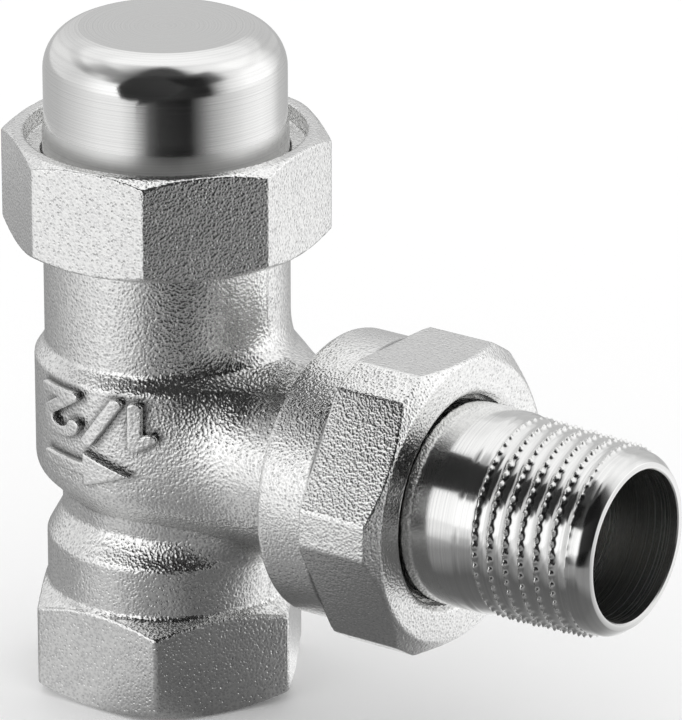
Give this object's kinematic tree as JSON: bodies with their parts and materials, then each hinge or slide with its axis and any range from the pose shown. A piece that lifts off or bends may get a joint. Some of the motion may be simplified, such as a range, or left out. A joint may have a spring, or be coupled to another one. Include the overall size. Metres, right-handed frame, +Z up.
{
  "type": "manual radiator valve",
  "caption": "Angle radiator valve with a hexagonal threaded inlet, a capped key-operated spindle and a union with a threaded tail piece for the radiator.",
  "frame": {"origin": "middle of the inlet mouth, on the valve axis, at the height of the hexagon's lower face", "axes": "+Z up the valve axis from the inlet to the cap, +X along the outlet to the radiator"},
  "size_m": [0.0751, 0.0334, 0.0725],
  "materials": {
    "forged_nickel": "nickel-plated forging, grainy gloss",
    "blasted_nickel": "nickel-plated, fine blasted satin",
    "turned_nickel": "nickel-plated, turned bright",
    "bare_brass": "machined",
    "spring_steel": "bright wire",
    "seal_rubber": "matt",
    "gasket": "pressed fibre, matt"
  },
  "bodies": {
    "valve": {"valve_body": "forged_nickel", "bonnet": "bare_brass", "bonnet_gasket": "gasket", "thrust_washer": "bare_brass", "spindle_seal_lower": "seal_rubber", "spindle_seal_upper": "seal_rubber", "gland_nut": "bare_brass"},
    "disc": {"disc_holder": "bare_brass", "disc_clip": "spring_steel", "disc_seal": "seal_rubber", "disc_screw": "bare_brass"},
    "spindle": {"spindle": "bare_brass"},
    "cap": {"cap": "turned_nickel", "cap_gasket": "gasket"},
    "cap_nut": {"cap_nut": "blasted_nickel"},
    "tail": {"tail_piece": "turned_nickel", "tail_gasket": "gasket"},
    "union_nut": {"union_nut": "blasted_nickel"}
  },
  "joints": [
    {"name": "cap_lift", "type": "slide", "parent": "valve", "child": "cap", "axis": [0, 0, 1], "range_m": [0, 0.0063]},
    {"name": "cap_nut_turn", "type": "hinge", "parent": "cap", "child": "cap_nut", "pos_m": [0, 0, 0.055], "axis": [0, 0, 1], "range_deg": [0, 1512]},
    {"name": "disc_lift", "type": "slide", "parent": "valve", "child": "disc", "axis": [0, 0, 1], "range_m": [0, 0.00375]},
    {"name": "spindle_turn", "type": "hinge", "parent": "disc", "child": "spindle", "pos_m": [0, 0, 0.045], "axis": [0, 0, 1], "range_deg": [0, 900]},
    {"name": "tail_draw", "type": "slide", "parent": "valve", "child": "tail", "axis": [1, 0, 0], "range_m": [0, 0.00952]},
    {"name": "union_nut_turn", "type": "hinge", "parent": "tail", "child": "union_nut", "pos_m": [0.03, 0, 0.028], "axis": [1, 0, 0], "range_deg": [0, 1890]}
  ],
  "couplings": [
    {"joint": "cap_nut_turn", "follows": "cap_lift", "rad_per_m": 4188.8},
    {"joint": "spindle_turn", "follows": "disc_lift", "rad_per_m": 4188.8},
    {"joint": "union_nut_turn", "follows": "tail_draw", "rad_per_m": 3463.7}
  ]
}
